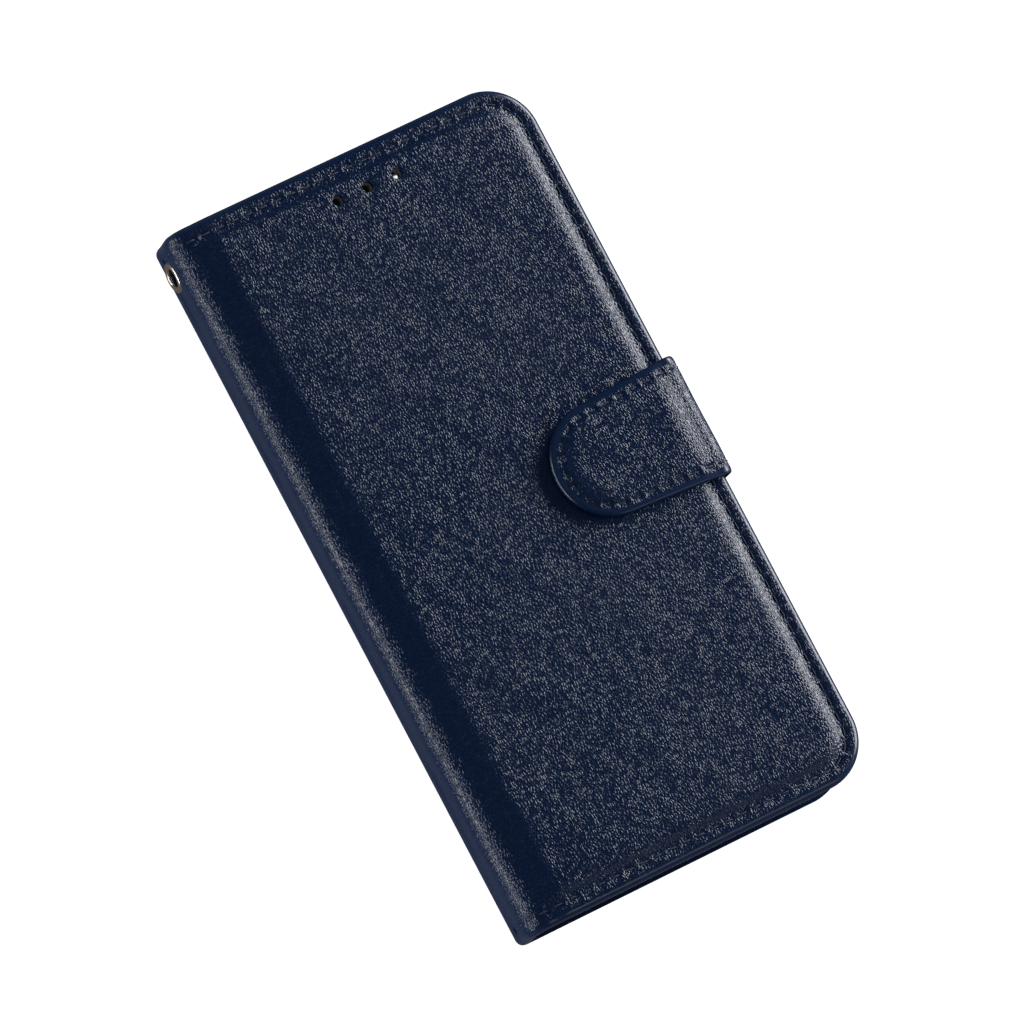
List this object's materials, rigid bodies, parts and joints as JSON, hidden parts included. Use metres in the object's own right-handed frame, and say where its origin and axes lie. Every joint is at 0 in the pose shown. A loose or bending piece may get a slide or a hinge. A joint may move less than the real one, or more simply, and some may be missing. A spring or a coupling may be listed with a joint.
{
  "type": "phone wallet case",
  "caption": "Slim folio case for a phone: padded leather cover, soft spine with an eyelet, moulded tray, card pockets and a magnetic strap that wraps over the opening edge.",
  "frame": {"origin": "middle of the closed case's underside, on the back cover's outer face", "axes": "+X from the spine to the opening edge, +Y along the phone to the end with the three holes, +Z from back cover to front cover"},
  "size_m": [0.0872, 0.166, 0.0208],
  "materials": {
    "leather": "navy pebble grain, semi-gloss",
    "lining": "smooth microfibre, matt",
    "pocket_leather": "fine grain, satin",
    "board": "pressed grey board",
    "foam": "thin soft padding",
    "thread": "twisted navy thread",
    "tray_plastic": "soft moulded shell, fine satin",
    "eyelet_metal": "pale nickel plate",
    "steel": "plain"
  },
  "bodies": {
    "back": {"back_cover_skin": "leather", "back_board": "board", "back_lining": "lining", "back_stitching": "thread", "phone_tray": "tray_plastic", "strap_root": "leather"},
    "spine": {"spine_skin": "leather", "spine_board": "board", "spine_lining": "lining", "spine_stitching": "thread", "eyelet": "eyelet_metal", "eyelet_washer": "eyelet_metal"},
    "front_cover": {"front_cover_skin": "leather", "front_foam": "foam", "front_board": "board", "catch_plate": "steel", "front_lining": "lining", "cash_pocket": "pocket_leather", "card_slot_1": "pocket_leather", "card_slot_2": "pocket_leather", "card_slot_3": "pocket_leather", "front_stitching": "thread", "pocket_stitching": "thread"},
    "strap_side": {"strap_side_leather": "leather", "strap_side_lining": "leather"},
    "strap_tab": {"strap_tab_leather": "leather", "strap_tab_lining": "leather", "tab_magnet": "steel", "tab_stitching": "thread"}
  },
  "joints": [
    {"name": "spine_fold", "type": "hinge", "parent": "back", "child": "spine", "pos_m": [-0.04154, 0, 0.00146], "axis": [0, -1, 0], "range_deg": [0, 90]},
    {"name": "cover_fold", "type": "hinge", "parent": "spine", "child": "front_cover", "pos_m": [-0.04154, 0, 0.01534], "axis": [0, -1, 0], "range_deg": [0, 90]},
    {"name": "strap_lift", "type": "hinge", "parent": "back", "child": "strap_side", "pos_m": [0.04313, 0, 0.00127], "axis": [0, 1, 0], "range_deg": [0, 90]},
    {"name": "tab_lift", "type": "hinge", "parent": "strap_side", "child": "strap_tab", "pos_m": [0.04272, 0, 0.01857], "axis": [0, 1, 0], "range_deg": [0, 90]}
  ]
}
